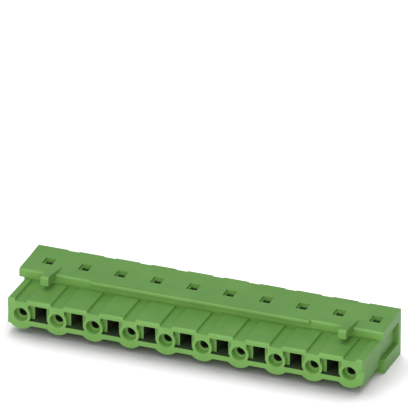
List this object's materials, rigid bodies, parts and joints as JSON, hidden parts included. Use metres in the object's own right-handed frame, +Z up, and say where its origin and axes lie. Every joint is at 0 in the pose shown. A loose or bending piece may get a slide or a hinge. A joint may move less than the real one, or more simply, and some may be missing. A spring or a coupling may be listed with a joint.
{
  "type": "pluggable terminal block",
  "caption": "Green moulded plug housing for crimped wires with a row of round wire entries, cored pockets, two top hooks and stamped contacts inside.",
  "frame": {"origin": "middle of the footprint, on the plane the plug stands on", "axes": "+X along the row, +Y from the wire face towards the mating face, +Z up"},
  "size_m": [0.0762, 0.0186, 0.0106],
  "materials": {
    "housing": "moulded polyamide, satin",
    "contact": "tin plated copper alloy sheet"
  },
  "bodies": {
    "root": {"housing": "housing", "contact_01": "contact", "contact_02": "contact", "contact_03": "contact", "contact_04": "contact", "contact_05": "contact", "contact_06": "contact", "contact_07": "contact", "contact_08": "contact", "contact_09": "contact", "contact_10": "contact"}
  },
  "joints": []
}
